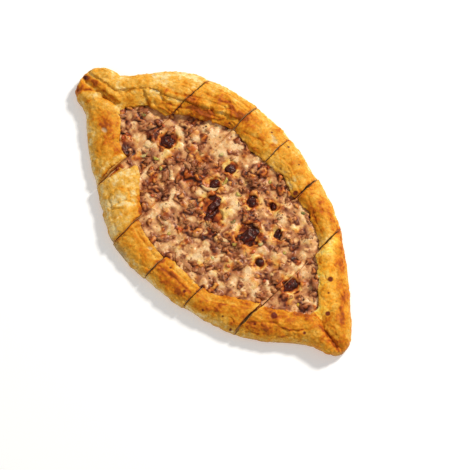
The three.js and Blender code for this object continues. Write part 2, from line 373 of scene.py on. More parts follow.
def bumps(tree, shader, layers):
    """Chains bump layers of (height, distance in mm, strength) into the shader's normal."""
    normal = None
    for height, distance, strength in layers:
        made = node(tree, "ShaderNodeBump", Height=height, Distance=distance * MM, Strength=strength)
        if normal:
            tree.links.new(normal, made.inputs["Normal"])
        normal = made.outputs["Normal"]
    tree.links.new(normal, shader.inputs["Normal"])


def dough_material():
    material, tree, shader = nodes_of("baked_dough")
    grain, fine = noise_node(tree, 1.6, 4), noise_node(tree, 0.5, 2)
    mottle = noise_node(tree, 6.0, 4, 0.6)
    shade = maths(tree, "MULTIPLY", varied(tree, grain, 0.80, 1.17), varied(tree, mottle, 0.92, 1.09))
    stained = darkened(tree, tint(tree, shade), noise_node(tree, 1.9, 1.0), 0.70, 0.78, (0.22, 0.09, 0.02))
    feed_named(tree, shader, {
        "Base Color": stained, "Roughness": varied(tree, grain, 0.5, 0.68), "Specular IOR Level": 0.16,
        "Subsurface Weight": 0.12, "Subsurface Radius": (0.0035, 0.0018, 0.0008), "Subsurface Scale": 1.0,
    })
    bumps(tree, shader, [(mottle, 0.8, 0.35), (grain, 0.5, 0.7), (fine, 0.15, 0.5)])
    return material


def filling_material():
    material, tree, shader = nodes_of("meat_and_cheese")
    grain, fine = noise_node(tree, 1.3, 4, 0.6), noise_node(tree, 0.45, 2)
    dry = stretch(tree, attribute(tree, "wet", "Fac"), 0, 1, 0.52, 0.27)
    feed_named(tree, shader, {
        "Base Color": tint(tree, varied(tree, grain, 0.76, 1.2)),
        "Roughness": maths(tree, "ADD", dry, varied(tree, fine, -0.06, 0.06)),
        "Specular IOR Level": 0.34, "Specular Tint": (1.0, 0.9, 0.78, 1),
        "Subsurface Weight": 0.1, "Subsurface Radius": (0.003, 0.0014, 0.0008), "Subsurface Scale": 1.0,
    })
    bumps(tree, shader, [(grain, 0.35, 0.4), (fine, 0.1, 0.3)])
    return material


def charred_material():
    material, tree, shader = nodes_of("charred_topping")
    grain, fine = noise_node(tree, 1.3, 4, 0.65), noise_node(tree, 0.4, 2)
    feed_named(tree, shader, {
        "Base Color": tint(tree, varied(tree, grain, 0.6, 1.3)), "Roughness": varied(tree, fine, 0.24, 0.5),
        "Specular IOR Level": 0.45, "Specular Tint": (1.0, 0.82, 0.7, 1),
    })
    bumps(tree, shader, [(grain, 0.5, 0.6), (fine, 0.15, 0.4)])
    return material


# ---------------- the dough

# Screen colours of the dough from raw-looking to burnt.
DOUGH = [
    (0.00, linear(250, 218, 150)), (0.18, linear(238, 182, 80)), (0.36, linear(230, 162, 48)),
    (0.54, linear(220, 136, 20)), (0.70, linear(198, 100, 12)), (0.85, linear(140, 60, 14)),
    (1.00, linear(58, 22, 12)),
]

# Colours that parts of the dough take on.
SPECK = linear(150, 84, 30)          # small toasted specks
WALL_FOOT_AND_SHADE = linear(168, 128, 82)          # the foot of the left side's outer wall, which faces away from the key light: its paler, greyer dough and painted shade
FLAP_SHADOW = linear(130, 102, 74)           # painted shadow on the left wall just past the end of the wide flap
SPOT = linear(112, 34, 18)
TORN = linear(232, 206, 160)
CRUMB = linear(214, 176, 116)        # the inside of the bread, on the cut faces
CRUMB_BROWN_AND_SHADE = linear(110, 62, 26)    # where the cut gapes: browned by the oven, with painted shade deep in the gap
CRUMB_YELLOW = linear(228, 166, 70)  # on the left of the first slice
SHADE_UNDER_FOLD = linear(124, 64, 34)         # painted shade on the walls under the folded dough

# How brown each rim is along the boat, in hundredths: x, then the outer wall, the crown, the middle, the
# inner part and the lip.
BROWNING = {
    "right": [
        (-175, 25, 34, 36, 36, 34),
        (-140, 22, 26, 34, 36, 36),
        (-105, 16, 16, 34, 36, 38),
        (-70, 20, 34, 56, 48, 36),
        (-45, 24, 36, 60, 54, 34),
        (-20, 22, 36, 44, 36, 20),
        (25, 22, 33, 36, 30, 22),
        (75, 32, 58, 60, 50, 32),
        (105, 44, 58, 30, 17, 14),
        (150, 46, 58, 30, 18, 16),
        (182, 46, 56, 52, 48, 44),
    ],
    "left": [
        (-175, 34, 56, 58, 56, 52),
        (-145, 12, 28, 50, 46, 30),
        (-115, 8, 30, 48, 45, 30),
        (-95, 8, 26, 38, 42, 40),
        (-84, 10, 24, 26, 26, 30),
        (-45, 6, 26, 32, 30, 50),
        (-36, 6, 42, 50, 44, 26),
        (0, 6, 44, 54, 44, 26),
        (7, 6, 50, 58, 54, 26),
        (45, 8, 46, 54, 52, 24),
        (52, 10, 46, 54, 50, 24),
        (95, 14, 50, 56, 50, 26),
        (102, 16, 46, 56, 52, 20),
        (150, 30, 50, 54, 44, 30),
        (182, 46, 58, 54, 50, 46),
    ],
}
SHARES = (0.02, 0.28, 0.52, 0.8, 0.97)  # where across the rim those five values lie

# Strokes of browning that the oven left: two ends as x, y, the half-width, and how much browner. The stroke
# from -88, -34 to -91, -52 is painted shadow in the gap beside the first slice's curled edge.
BROWNED = [
    (-173, 4, -171, 5, 2.4, 0.75), (-172, 5, -163, 7, 3.6, 0.36), (-163, 7, -152, 8, 3.4, 0.28),
    (-150, 8, -133, 9, 2.6, 0.14), (-171, -11, -160, -1, 5, 0.16), (-170, -12, -166, -10, 3, 0.2),
    (-142, -10, -110, -21, 6, 0.12), (-132, -13, -123, -18, 3.5, 0.10), (-113, 46, -84, 62, 3, 0.16),
    (-104, 40, -76, 58, 2.4, 0.14), (-72, 60, -66, 65, 4, 0.18), (-66, 78, -53, 82, 4.6, 0.14),
    (-53, 79, -39, 82, 4.2, 0.18), (-60, -37, -43, -51, 2, 0.34), (-13, 81, -10, 77, 3, 0.14),
    (-3, 82, 3, 83, 3, 0.14), (8, 87, 15, 87, 4, 0.12), (2, -70, 5, -66, 2.6, 0.3),
    (12, -70, 43, -69, 3.4, 0.08), (35, -76, 43, -77, 3.2, 0.14), (101, -56, 140, -27, 5, 0.10),
    (150, -5, 180, -8, 2, 0.20), (-128, 52, -120, 58, 4, -0.16), (-112, 70, -95, 78, 5, -0.10),
    (-133, 36, -128, 31, 2.2, 0.16), (152, 20, 170, 6, 3, 0.12), (-88, -34, -91, -52, 2.4, 0.4),
    (-94, -26, -97, -60, 3, -0.14),
]

# Round dark-red spots on the dough: x, y and radius.
SPOTS = [
    (126, 32, 2.2), (147, 8, 2), (114, -29, 2.9), (145, -20, 1.3), (45, 67, 2.1),
    (40, -72, 1.4), (107, -47, 1.2), (94, -66, 1.1), (-46, 70, 0.9), (-12, 92, 0.9),
    (9, 93, 0.9), (15, -66, 0.9), (64, -72, 1), (81, -63, 0.9), (28, 88, 0.8), (134, 22, 0.8),
]

# Torn places that show pale dough: x, y and radius.
TEARS = [(-4, 88, 2.6), (-8, 90, 1.8), (-123, -19, 1.9), (-128, 51, 1.6), (-12, -66, 1.6)]

# How far each slice's rim stands above or below its neighbours.
SLICE_LIFT = {1: 0.0, 2: 0.5, 3: -0.2, 4: 0.5, 5: -0.1, 6: 0.5}

# How far the dough gapes at the top of each cut, in millimetres.
OPENED = {"right": (0.25, 0.0, 0.1, 0.6, 0.7), "left": (0.3, 0.0, 0.4, 0.2, 1.0)}

# Layers of dough that lie on the rim, as corner points, how far they stand up and how much browner.
LAYERS = [
    ([(-126, 34), (-116, 46), (-98, 54), (-84, 60), (-72, 68), (-60, 62), (-72, 48), (-84, 38), (-93, 30),
      (-104, 26), (-115, 31)], 2.2, 0),
    ([(-39, -92), (-38.5, -77), (-36, -66), (-34, -52), (-48, -48), (-50, -60), (-54, -72), (-52, -84)],
     1.5, 0.03),
    ([(-89.5, -16), (-60, -16), (-40.5, -44), (-40.5, -96), (-89.5, -84), (-88.5, -58), (-87, -40)],
     1.2, -0.10),
    ([(-66, -44), (-58, -49), (-55, -58), (-62, -64), (-72, -60), (-74, -50)], 0.8, -0.04),
]
LAYER_EDGE = 1.0  # width of the step at a layer's edge

# Creases where folded dough meets, and one curled edge of negative depth: their line as x, y points,
# half-width and depth.
CREASES = [
    ([(-88, -30), (-90.5, -40), (-91, -52)], 2.4, 3.6),
    ([(-94, -24), (-95.5, -40), (-96.5, -60)], 2.6, -1.9),
    ([(-98, -22), (-100, -38), (-101.5, -56)], 0.9, 1.1),
    ([(-171, -11), (-162, -2), (-150, 6), (-134, 8)], 1.2, 1.5),
    ([(-155, -12), (-151, -4), (-147, 3), (-133, 6)], 1, 1.1),
    ([(144, 0), (154, -4.5), (166, -6), (180, -8)], 1.2, 1.6),
    ([(158, -14), (166, -9), (179, -9)], 0.9, 0.8),
    ([(-112, 46), (-95, 57), (-83, 65)], 0.9, 1), ([(-101, 40), (-87, 49), (-76, 58)], 0.8, 0.9),
    ([(-72, 60), (-66, 66), (-53, 82), (-43, 79)], 0.9, 0.9), ([(-84, 72), (-67, 78), (-58, 83)], 0.8, 0.8),
    ([(-63, -61), (-61.5, -52), (-54, -48), (-66, -43)], 0.9, 0.9),
    ([(101, -51), (118, -34), (133, -29), (146, -15)], 0.9, 0.9),
    ([(106, -58), (124, -44), (140, -30)], 0.8, 0.6),
    ([(8, -72), (28, -69.5), (44, -69)], 0.9, 0.9), ([(52, -66), (66, -60), (84, -48)], 0.8, 0.6),
    ([(-136, 12), (-134, 22), (-130, 33)], 0.9, 1), ([(-30, 74), (-16, 78), (-2, 84)], 0.8, 0.8),
    ([(10, 80), (24, 82), (40, 76)], 0.8, 0.6), ([(56, 72), (72, 64), (90, 56)], 0.8, 0.6),
]


def seen_outline(points):
    """The boat's outline from above: the furthest points of the dough, every few millimetres."""
    step = 3
    bins = np.floor(points[:, 0] / step).astype(int)
    found = []
    for b in np.unique(bins):
        group = points[bins == b]
        found += [group[group[:, 1].argmax(), :2], group[group[:, 1].argmin(), :2]]
    ends = points[:, 0].argmin(), points[:, 0].argmax()
    found += [points[i, :2] for i in ends]
    return np.array(found)


LIP_FOOT, LIP_TOP = (11, 14), 18  # heights that the faces beside the filling start and end at


def lip_points():
    """Points along the edge of the folded dough: the tops of the upright faces beside the filling."""
    found = []
    for i in SLICES:
        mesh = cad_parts[f"crust_{i}"].data
        low, high = boat_box(f"crust_{i}")
        for polygon in mesh.polygons:
            if abs(polygon.normal.z) > 0.05:
                continue
            corners = to_boat([mesh.vertices[v].co[:] for v in polygon.vertices])
            inside = (corners[:, 0] > low[0] + 0.1) & (corners[:, 0] < high[0] - 0.1)
            if LIP_FOOT[0] < corners[:, 2].min() < LIP_FOOT[1] and corners[:, 2].max() < LIP_TOP:
                found += [c[:2] for c in corners[inside]]
    return np.array(found)


def distance_map(grid, targets):
    """Distance from each place of a grid to the nearest target, seen from above."""
    tree = KDTree(len(targets))
    for i, (x, y) in enumerate(targets):
        tree.insert((x, y, 0), i)
    tree.balance()
    return grid.map([tree.find((x, y, 0))[2] for x, y in grid.places])


def spread(points):
    """Adds points between close neighbours, so that a scattered line has no gaps."""
    extra = [points]
    for p in points:
        gaps = np.sqrt(((points - p) ** 2).sum(axis=1))
        close = points[(gaps > 0.5) & (gaps < 9)]
        extra += [mix(p, close, share) for share in (0.33, 0.67)]
    return np.unique(np.concatenate(extra).round(1), axis=0)


def plan_maps():
    """Maps of the distance to the outline, of the distance to the edge of the folded dough, and of how
    far each place lies inside that edge, negative where dough lies over it."""
    vertices = [to_boat([v.co[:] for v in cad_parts[f"crust_{i}"].data.vertices]) for i in SLICES]
    d_out = distance_map(PLAN, spread(seen_outline(np.concatenate(vertices))))
    d_in = distance_map(PLAN, spread(np.unique(lip_points().round(1), axis=0)))
    crusts = [bvh(f"crust_{i}") for i in SLICES]
    fillings = [bvh(f"filling_{i}") for i in SLICES]
    up, down = Vector((0, 0, 1)), Vector((0, 0, -1))
    starts = to_frame(np.column_stack([PLAN.places, np.full(len(PLAN.places), 13.5)]))
    is_open = PLAN.map([
        any(tree.ray_cast(Vector(start), down)[0] for tree in fillings)
        and not any(tree.ray_cast(Vector(start), up)[0] for tree in crusts) for start in starts])
    return d_out, d_in, np.where(is_open, d_in, -d_in)


def line_share(places, start, end):
    """Each place's share of the way along a line, held between its ends, and its distance from it."""
    way = end - start
    along = np.clip(((places - start) @ way) / (way @ way), 0, 1)
    return along, np.linalg.norm(places - (start + along[:, None] * way), axis=1)


def stroke_share(points, x0, y0, x1, y1, width):
    """1 on a stroke's line, falling to 0 at its half-width, with a ragged edge."""
    gap = line_share(points[:, :2], np.array([x0, y0], float), np.array([x1, y1], float))[1]
    ragged = gap + 0.45 * width * noise(points, width * 1.3 + 1, 41)
    return 1 - smooth(0.35 * width, 1.25 * width, ragged)


def crease_share(points, line, width):
    """1 along the bottom of a crease, falling to 0 beside it and at its ends."""
    wander = points[:, :2] + 1.2 * np.stack([noise(points, 7, 52), noise(points, 7, 53)], axis=1)
    line = np.array(line, float)
    share = np.zeros(len(points))
    for start, end in zip(line[:-1], line[1:]):
        gap = line_share(wander, start, end)[1]
        share = np.maximum(share, np.exp(-(gap / width) ** 2))
    return share * mix(0.55, 1.0, smooth(-0.4, 0.4, noise(points, 9, 54)))


def inside_share(points, corners):
    """1 well inside a polygon and 0 outside it, with a soft step; 1 along the seam just outside the step;
    and 1 along the rim just inside it."""
    corners = np.array(corners, float)
    x, y = points[:, 0], points[:, 1]
    inside = np.zeros(len(points), bool)
    gap = np.full(len(points), np.inf)
    for a, b in zip(corners, np.roll(corners, -1, axis=0)):
        crosses = (a[1] > y) != (b[1] > y)
        inside ^= crosses & (x < a[0] + (y - a[1]) / (b[1] - a[1] + 1e-12) * (b[0] - a[0]))
        gap = np.minimum(gap, line_share(points[:, :2], a, b)[1])
    signed = np.where(inside, gap, -gap) + noises(points, (1.1, 5, 51), (0.4, 2, 55))
    return (smooth(-LAYER_EDGE / 2, LAYER_EDGE / 2, signed), np.exp(-((signed + 0.9) / 0.9) ** 2),
            np.exp(-((signed - 1.1) / 1.0) ** 2))


def folds(points, d_out):
    """Long wrinkles that run along the rim, 0 to 1, sharp at their tops."""
    along = np.stack([points[:, 0] / 16, d_out / 3.4 + 0.25 * noise(points, 11, 61)], axis=1)
    return (1 - np.abs(noise(along, 1.0, 62)) * 1.7).clip(0, 1) ** 2


def fold_depth(points):
    """How strongly the rims are wrinkled from place to place, in millimetres."""
    x, y = points[:, 0], points[:, 1]
    right_bow = between(x, -135, -105, -38, -30) * (y > 0)
    left_stern = smooth(98, 104, x) * (y < 0)
    fourth = between(x, 3, 6, 46, 50) * (y < 0)
    return 0.22 + 0.85 * right_bow + 0.45 * left_stern + 0.3 * fourth


def nearest_cut(points):
    """The number of the knife cut nearest to each point, from 0, and the distance to it."""
    gaps = np.abs(points[:, :1] - np.array(CUTS))
    return gaps.argmin(axis=1), gaps.min(axis=1)


def knife_wobble(points):
    """How far the knife strayed along the boat, the same on both sides of a cut."""
    cut, gap = nearest_cut(points)
    line = np.column_stack([cut * 50.0, points[:, 1]])
    return (1 - smooth(0, 9.0, gap)) * noises(line, (0.8, 16, 56), (0.35, 5, 57))


def cut_opening(points):
    """How far the top edges of the dough draw back from the cuts, in millimetres."""
    cut = nearest_cut(points)[0]
    side = np.where(points[:, 1] > 0, np.array(OPENED["right"])[cut], np.array(OPENED["left"])[cut])
    return side * smooth(8, 16, points[:, 2]) * (0.8 + 0.5 * noise(points, 9, 58))


def lip_groove(points, d_in):
    """The groove between the rim and its rolled inner edge, on the left of the middle slices."""
    here = between(points[:, 0], -40, -36, 90, 98) * (points[:, 1] < 0)
    wander = 6.2 + 1.2 * noise(points, 25, 71)
    return here * np.exp(-((d_in - wander) / 1.3) ** 2)


def browning(points, share):
    """The oven's browning from the two tables, 0 to 1."""
    result = np.zeros(len(points))
    for side, rows in BROWNING.items():
        rows = np.array(rows)
        mine = (points[:, 1] > 0) == (side == "right")
        levels = [np.interp(points[mine, 0], rows[:, 0], level / 100) for level in rows[:, 1:].T]
        t = np.clip(share[mine], SHARES[0], SHARES[-1])
        value = np.zeros(mine.sum())
        for low, high, level, next_level in zip(SHARES, SHARES[1:], levels, levels[1:]):
            here = (t >= low) & (t <= high)
            value[here] = mix(level, next_level, (t - low) / (high - low))[here]
        result[mine] = value
    return result


# The dough's marks: how far each raises it, in millimetres, and how much browner it makes it; the darkening
# along the bottoms of the creases is painted shade.
MARKS = {
    "grain": (1.0, 0.5), "lumps": (1.0, 0.11), "blisters": (0.45, 0.10), "layers": (1.0, 0.0),
    "crease_shade": (0.0, 0.22), "groove": (-1.0, -0.14), "tears": (-0.8, 0.0), "cracks": (-0.7, 0.12),
}
VENT = (-172.7, 4.1)  # x and y of the dark hole in the knob
RIM_TOP = 12          # the rim's top begins at this height
UNSEEN_HEIGHTS = (2.5, 13.4)  # between them and this far in, dough lies under the fold
UNSEEN_IN = 9
CUT_EDGE = (0.3, 1.6)  # how near a cut the dough is still the cut's edge
CLOSING = 0.12         # how far the cut faces stand out towards the cut,
FOOT_CLOSING = 0.22    # how much further at their foot,
WIDE_CLOSING = 1.0     # and there where the left side's last cut is wide


class Slice:
    """The smooth surface of one slice's dough: where each point lies, and the marks on it."""

    def __init__(self, number, mesh, outer, inner):
        self.number = number
        low, high = boat_box(f"crust_{number}")
        # the cut ends: their x, and which way is inward
        self.ends = [(low[0], 1)] * (number > 1) + [(high[0], -1)] * (number < 6)
        points = points_of(mesh)
        self.at_cut = np.zeros(len(points))
        for end, inward in self.ends:
            self.at_cut = np.maximum(self.at_cut, 1 - smooth(*CUT_EDGE, inward * (points[:, 0] - end)))
        points = relax(points, edges_of(mesh), 9, 0.55 * self.at_cut)
        set_points(mesh, points)
        self.points, self.normals = points, normals_of(mesh)
        self.x, self.y, self.z = points.T
        self.up = self.normals[:, 2]
        self.d_out, self.d_in = PLAN.sample(outer, points), PLAN.sample(inner, points)
        self.share = self.d_out / (self.d_out + self.d_in + 1e-6)
        self.top = smooth(0.2, 0.6, self.up) * (self.z > RIM_TOP)
        self.left_wall = (self.y < 0) * (self.up > -0.3)
        self.cut_face = (self.at_cut > 0.5) & (np.abs(self.normals[:, 0]) > 0.75)
        low_z, high_z = UNSEEN_HEIGHTS
        self.unseen = (self.z > low_z) & (self.z < high_z) & (self.d_out > UNSEEN_IN) & ~self.cut_face
        self.bent = points + 2.5 * np.stack([self.noise(12, seed) for seed in (5, 6, 7)], axis=1)
        self.wrinkle = folds(points, self.d_out)
        self.fold_depth = fold_depth(points)
        self.opened = cut_opening(points)
        self.marks = self.find_marks()

    def noise(self, size, seed):
        return noise(self.points, size, seed)

    def find_marks(self):
        layers, crease_shade, tears, self.layer_brown_and_seam_shade = np.zeros((4, len(self.points)))
        for corners, rise, brown in LAYERS:
            inside, seam, rim = inside_share(self.points, corners)
            layers += (rise * inside - 0.5 * seam) * self.top
            # browner inside a layer and along its rim, and darker along the seam at the foot of its step:
            # painted shade
            self.layer_brown_and_seam_shade += (brown * inside + 0.12 * seam + 0.12 * rim) * self.top
        for line, width, depth in CREASES:
            bottom = crease_share(self.points, line, width) * self.top
            layers -= depth * bottom
            # painted shade along the bottoms of the creases
            crease_shade = np.maximum(crease_shade, bottom * (depth > 0))
        for x, y, radius in TEARS:
            torn = stroke_share(self.points, x - radius / 2, y, x + radius / 2, y, radius)
            tears = np.maximum(tears, torn * self.top)
        cracked = smooth(0, 0.25, self.noise(17, 34)) * self.top
        creased = 0.5 + 0.5 * smooth(-0.3, 0.4, self.noise(26, 8))
        puffs = sum(amount * np.abs(noise(self.bent, size, seed))
                    for amount, size, seed in ((1.9, 13, 2), (1.0, 6, 3), (0.5, 2.8, 9)))
        return {
            "grain": 0.14 * self.noise(1.9, 10),
            "lumps": 0.8 * self.noise(22, 1) + creased * (puffs - 1.0),
            "blisters": smooth(0.34, 0.62, self.noise(6.5, 4)) * smooth(0, 0.5, self.up),
            "layers": layers,
            "crease_shade": crease_shade,
            "groove": lip_groove(self.points, self.d_in) * self.top,
            "tears": tears,
            "cracks": np.clip(1 - np.abs(noise(self.bent, 10, 33)) * 9, 0, 1) * cracked,
        }

    def relief(self):
        """The points with the dough's relief, in millimetres."""
        rise = sum(raised * self.marks[name] for name, (raised, _) in MARKS.items())
        rise += SLICE_LIFT[self.number] * self.top
        rise += self.fold_depth * (self.wrinkle - 0.35) * smooth(0, 0.5, self.up)
        lip = (1 - smooth(1.0, 4.5, self.d_in)) * (self.z > 10.5) * smooth(0.8, 0.4, np.abs(self.up))
        rise += lip * noises(self.points, (1.7, 7, 31), (1.1, 3, 32)) * np.where(self.y > 0, 1.2, 0.6)
        shown = np.where(self.up < -0.3, 0.25, 1.0) * np.where(self.cut_face | self.unseen, 0.25, 1.0)
        moved = self.points + self.normals * (rise * shown)[:, None]

        # the knife left the cut faces flat and close together at the foot
        wide = (self.y < 0) & (np.abs(self.x - CUTS[4]) < 8)
        foot = np.where(wide, WIDE_CLOSING, FOOT_CLOSING) * (1 - smooth(4, 13, self.z))
        closing = CLOSING + foot - self.opened
        for end, inward in self.ends:
            held = np.maximum(moved[:, 0], end) if inward > 0 else np.minimum(moved[:, 0], end)
            moved[:, 0] = held - inward * closing * (1 - smooth(0, 3.0, inward * (self.x - end)))

        # the underside lies on the table
        moved[:, 2] = np.maximum(moved[:, 2], 0.0)
        moved[(self.z < 0.8) & (self.up < -0.5), 2] = 0.0
        moved[:, 0] += knife_wobble(self.points)
        return moved

    def brown(self):
        """How brown each point is, as a place on the DOUGH ramp."""
        brown = browning(self.points, self.share) + self.layer_brown_and_seam_shade
        brown += sum(browner * self.marks[name] for name, (_, browner) in MARKS.items())
        brown += 0.16 * (self.wrinkle - 0.3) * self.fold_depth + 0.16 * self.noise(14, 11)
        brown += noises(self.bent, (0.15, 5.5, 12), (0.14, 2.6, 13))
        brown += 0.08 * (smooth(-0.14, 0.16, noise(self.bent, 9, 20)) - 0.5)
        for *stroke, amount in BROWNED:
            brown += amount * stroke_share(self.points, *stroke)
        brown += 0.34 * self.at_cut * (self.up > 0.1) * smooth(-0.5, 0.3, self.noise(13, 21))
        hole = 1 - smooth(1.2, 2.6, np.hypot(self.x - VENT[0], self.y - VENT[1]))
        brown = np.minimum(brown, mix(0.80, 0.95, hole))
        underside = 0.40 + noises(self.points, (0.14, 16, 14), (0.10, 4, 15))
        return mix(brown, underside, smooth(-0.2, -0.7, self.up))

    def colour(self):
        colour = ramp(DOUGH, self.brown())
        # painted light: the inner half of the right rim at the stern, which slopes away from the key light,
        # is lightened
        painted_light = smooth(98, 104, self.x) * smooth(0.38, 0.62, self.share) * (self.y > 0) * (self.up > 0.1)
        colour *= 1 + 0.45 * painted_light[:, None]
        specks = smooth(0.52, 0.66, self.noise(2.2, 16)) * smooth(-0.2, 0.3, self.noise(19, 17))
        colour = blend(colour, SPECK, 0.55 * specks * (self.up > 0))
        # darker towards the foot of the left outer wall: paler, greyer dough there and painted shade
        colour = blend(colour, WALL_FOOT_AND_SHADE, 0.7 * (1 - smooth(3, 11, self.z)) * self.left_wall)
        # painted shadow, grey-brown, on the left outer wall just past the end of the wide flap
        flap_shadow = between(self.x, -48, -42, -28, -14) * (1 - smooth(8, 17, self.z))
        colour = blend(colour, FLAP_SHADOW, 0.6 * flap_shadow * self.left_wall)
        for x, y, radius in SPOTS:
            gap = np.hypot(self.x - x, self.y - y) + 0.25 * self.noise(2, 18)
            spot = (1 - smooth(radius * 0.9, radius * 1.3, gap)) * (self.up > 0)
            colour = blend(colour, SPOT, 0.97 * spot)
        colour = blend(colour, TORN, 0.6 * self.marks["tears"])

        crumb = CRUMB * (1 + 0.15 * self.noise(1.8, 19))[:, None]
        # cut faces darker where the cut gapes: browned crumb and painted shade in the gap
        crumb = blend(crumb, CRUMB_BROWN_AND_SHADE, 0.9 * np.clip(1.6 * self.opened, 0, 1) * self.at_cut)
        crumb = blend(crumb, CRUMB_YELLOW, 0.8 * ((self.y < 0) & (self.x < CUTS[0])))
        colour = blend(colour, crumb, self.cut_face.astype(float))
        # painted shade on the walls under the folded dough
        return np.clip(blend(colour, SHADE_UNDER_FOLD, 0.9 * self.unseen), 0, 1)


def add_crust(number, outer, inner, material):
    """One slice's dough: relief, colour and all."""
    mesh = remeshed(f"crust_{number}", f"dough_{number}", CRUST_VOXEL)
    dough = Slice(number, mesh, outer, inner)
    set_points(mesh, dough.relief())
    paint(mesh, "tint", dough.colour())
    add_piece(f"dough_{number}", mesh, material, [f"crust_{number}"])


# ---------------- the filling's maps

def map_noise(size, seed):
    return BED.map(noise(BED.places, size, seed))


def map_noises(*layers):
    return BED.map(noises(BED.places, *layers))


def from_place(x, y):
    """A map of the distance to a place."""
    return np.hypot(BED.x - x, BED.y - y)


def blurred(values, radius):
    """The map smoothed over a radius in millimetres."""
    reach = int(3 * radius / MAP_STEP)
    kernel = np.exp(-0.5 * (np.arange(-reach, reach + 1) * MAP_STEP / radius) ** 2)
    kernel /= kernel.sum()
    for axis in (0, 1):
        padded = np.pad(values, [(reach, reach) if a == axis else (0, 0) for a in (0, 1)], mode="edge")
        values = np.apply_along_axis(np.convolve, axis, padded, kernel, "valid")
    return values


# Screen colours of the filling, from the dark gaps between the crumbs to the cream of the cheese, as the
# meat and cheese have them and as the oven browned them.
PLAIN = [
    (0.00, linear(48, 12, 4)), (0.18, linear(98, 34, 12)), (0.36, linear(150, 78, 38)),
    (0.52, linear(182, 114, 70)), (0.68, linear(212, 150, 96)), (0.84, linear(236, 180, 118)),
    (1.00, linear(252, 212, 160)),
]
BROWNED_TONES = [
    (0.00, linear(52, 14, 5)), (0.25, linear(128, 44, 10)), (0.5, linear(198, 92, 22)),
    (0.75, linear(232, 146, 44)), (1.00, linear(248, 198, 98)),
]

MAUVE = linear(176, 122, 104)  # boiled meat that the oven did not brown

# Where the melted cheese lies thick (positive) or the bare meat shows (negative): x, y, reach, amount.
CHEESE_PATCHES = [
    (-39, 54, 12, 0.9), (-52, 52, 10, 0.7), (-22, 52, 9, 0.6), (12, 6, 9, 0.8), (12, 20, 8, 0.6),
    (76, -26, 13, 0.6), (20, -38, 12, 0.6), (4, -42, 10, 0.4), (92, 16, 13, 0.7), (-27, -34, 12, 0.3),
    (56, 40, 9, 0.5), (40, -40, 10, 0.3), (8, -24, 7, -0.4), (52, -36, 7, -0.4), (-12, -44, 7, -0.4),
    (-84, 2, 8, 0.6), (60, 5, 9, 0.4), (-100, -4, 8, 0.4),
    (-34, 12, 15, -0.9), (-34, 28, 8, -0.7), (10, 44, 12, -0.9), (24, 48, 9, -0.6), (-66, -18, 10, -0.7),
    (-50, -22, 10, -0.6), (-94, 12, 8, -0.7), (-20, -20, 9, -0.4), (119, -3, 9, -0.5), (36, -18, 7, -0.4),
]

# Redder, browned meat: x, y, reach.
BROWNED_MEAT = [(-33, 8, 13), (-36, 26, 8), (-74, 14, 9), (-24, -2, 7), (46, 6, 7), (64, -12, 5)]

# Painted shadow, dark orange-brown, on the filling in the gap beside the wide flap: x, y, reach.
SHADOWED = [(-89, -34, 4), (-90, -41, 4), (-91, -48, 4), (-91, -56, 4)]


def patch_map(patches):
    """A map with a soft, ragged patch at each place: x, y, reach, amount."""
    total = np.zeros(BED.x.shape)
    warp_x, warp_y = 3 * map_noise(9, 21), 3 * map_noise(9, 22)
    for x, y, reach, amount in patches:
        gap = ((BED.x + warp_x - x) ** 2 + (BED.y + warp_y - y) ** 2) / reach ** 2
        total += amount * np.exp(-gap)
    return total


def marked(places):
    """A map of ragged patches, 0 to 1, at places without an amount."""
    return np.clip(patch_map([(*place, 1.0) for place in places]), 0, 1)


# Lumps and crumbs of mince: their spacing, the smallest half-length, how much longer the longest are,
# the lowest height, how much higher the highest are, and the share of places that have one.
LUMPS = (8.0, 3.2, 3.8, 2.3, 2.4, 0.86)
CRUMBS = (5.2, 1.6, 2.2, 0.8, 0.9, 0.42)


def crumb_layout(cheese, rng, kind):
    """Places and sizes of the lumps or crumbs: x, y, half-lengths, turn, height and tone."""
    spacing, least, more, low_height, more_height, share = kind
    crumbs = []
    low, high = BED.places.min(axis=0), BED.places.max(axis=0)
    for x in np.arange(low[0], high[0], spacing):
        for y in np.arange(low[1], high[1], spacing):
            dx, dy, keep, size, thin, turn, tall = rng.random(7)
            tone = rng.uniform(-0.14, 0.14)
            cx = x + (dx - 0.5) * spacing * 0.95
            cy = y + (dy - 0.5) * spacing * 0.95
            covered = BED.sample(cheese, np.array([[cx, cy]]))[0]
            if keep > share * (1.1 - 0.35 * covered):
                continue
            half = least + more * size ** 1.6
            crumbs.append((cx, cy, half, half * (0.55 + 0.4 * thin), turn * math.pi,
                           (low_height + more_height * tall) * (1 - 0.2 * covered), tone))
    return crumbs


def crumb_maps(crumbs):
    """The crumbs' height, and a shade for each crumb, on the grid."""
    height, shade = np.zeros((2, *BED.x.shape))
    warp_x = map_noises((2.6, 6, 23), (0.5, 2.4, 46))
    warp_y = map_noises((2.6, 6, 24), (0.5, 2.4, 47))
    for x, y, a, b, turn, tall, tone in crumbs:
        reach = int((a + 2.4) / MAP_STEP)
        i, j = max(int((x - BED.low[0]) / MAP_STEP), 0), max(int((y - BED.low[1]) / MAP_STEP), 0)
        window = (slice(max(i - reach, 0), i + reach + 1), slice(max(j - reach, 0), j + reach + 1))
        dx = BED.x[window] + warp_x[window] - x
        dy = BED.y[window] + warp_y[window] - y
        u = (dx * math.cos(turn) + dy * math.sin(turn)) / a
        v = (dy * math.cos(turn) - dx * math.sin(turn)) / b
        cap = tall * np.sqrt(np.clip(1 - (u * u + v * v) ** 1.2, 0, 1))
        higher = cap > height[window]
        height[window] = np.where(higher, cap, height[window])
        shade[window] = np.where(higher, tone, shade[window])
    return height, shade


def charred_centres():
    """x, y and reach of each charred piece."""
    found = []
    for name in sorted(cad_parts):
        if name.startswith("charred"):
            low, high = (corner[:2] for corner in boat_box(name))
            found.append((*(low + high) / 2, (high - low).sum() / 4))
    return found


